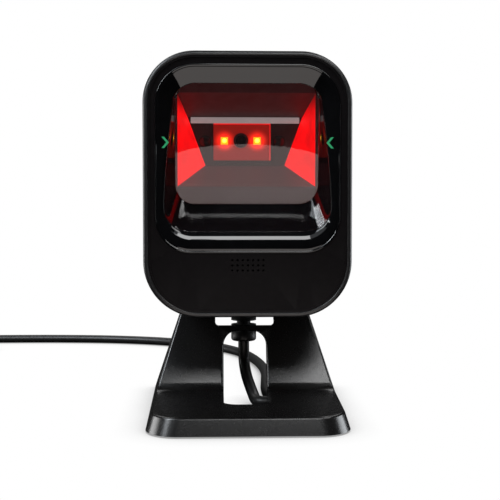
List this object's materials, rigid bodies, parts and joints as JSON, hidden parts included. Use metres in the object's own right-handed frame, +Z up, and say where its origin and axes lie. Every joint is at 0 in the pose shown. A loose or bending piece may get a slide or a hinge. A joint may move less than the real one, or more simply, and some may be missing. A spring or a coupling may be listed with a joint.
{
  "type": "presentation barcode scanner",
  "caption": "Hands-free barcode scanner: a rounded upright head with a large tilted scan window in a scooped surround, tilting on a low wedge stand, with a coiled cable and a flat plug.",
  "frame": {"origin": "centre of the footprint, on the surface the feet stand on, cable not counted", "axes": "+X to the viewer's right, -Y out of the scan window towards the viewer, +Z up"},
  "size_m": [0.2743, 0.2593, 0.1467],
  "materials": {
    "housing": "fine matte texture",
    "bezel": "satin",
    "surround": "polished",
    "window": "clear, faintly tinted",
    "gasket": "matte",
    "hood": "satin grey",
    "reflector": "red, lit by the light sources",
    "panel": "matte",
    "bar": "satin grey",
    "chamber": "red-lit white plastic",
    "board": "solder mask",
    "light": "lit clear dome on a white package",
    "barrel": "matte",
    "lens": "coated",
    "aimer": "polished",
    "chip": "matte",
    "jack": "satin",
    "speaker": "matte",
    "cloth": "woven",
    "chevron": "green inlay",
    "screw": "black-plated",
    "hinge": "satin",
    "washer": "satin",
    "stand": "fine matte texture",
    "cover": "matte",
    "ballast": "plain",
    "foot": "matte",
    "boot": "satin",
    "cable": "satin",
    "tie": "satin",
    "plug_body": "matte",
    "plug_shell": "nickel-plated",
    "plug_tongue": "satin"
  },
  "bodies": {
    "stand": {"ballast_plate": "ballast", "bottom_cover": "cover", "cable_coil": "cable", "cable_drop": "cable", "cable_run": "cable", "cable_tail": "cable", "cable_tie": "tie", "cover_screw_left": "screw", "cover_screw_right": "screw", "front_foot_left": "foot", "front_foot_right": "foot", "hinge_pin_left": "hinge", "hinge_pin_right": "hinge", "plug_body": "plug_body", "plug_shell": "plug_shell", "plug_tongue": "plug_tongue", "rear_foot_left": "foot", "rear_foot_right": "foot", "stand_shell": "stand", "washer_left_inner": "washer", "washer_left_outer": "washer", "washer_right_inner": "washer", "washer_right_outer": "washer"},
    "head": {"aimer_left": "aimer", "aimer_right": "aimer", "back_panel": "panel", "board_spacer_1": "barrel", "board_spacer_2": "barrel", "board_spacer_3": "barrel", "board_spacer_4": "barrel", "cable_jack": "jack", "chamber": "chamber", "chevron_left": "chevron", "chevron_right": "chevron", "decode_chip": "chip", "front_bezel": "bezel", "grille_cloth": "cloth", "hinge_bracket_left": "hinge", "hinge_bracket_right": "hinge", "housing_screw_1": "screw", "housing_screw_2": "screw", "housing_screw_3": "screw", "housing_screw_4": "screw", "imager_barrel": "barrel", "imager_lens": "lens", "led_board": "board", "led_left": "light", "led_right": "light", "light_bar": "bar", "main_board": "board", "optical_hood": "hood", "rear_housing": "housing", "reflector_left": "reflector", "reflector_right": "reflector", "scan_window": "window", "speaker": "speaker", "strain_relief": "boot", "window_gasket": "gasket", "window_surround": "surround"}
  },
  "joints": [
    {"name": "head_tilt", "type": "hinge", "parent": "stand", "child": "head", "pos_m": [0, 0.0175, 0.0522], "axis": [1, 0, 0], "range_deg": [-20, 15], "deforming": ["cable_drop"]}
  ]
}
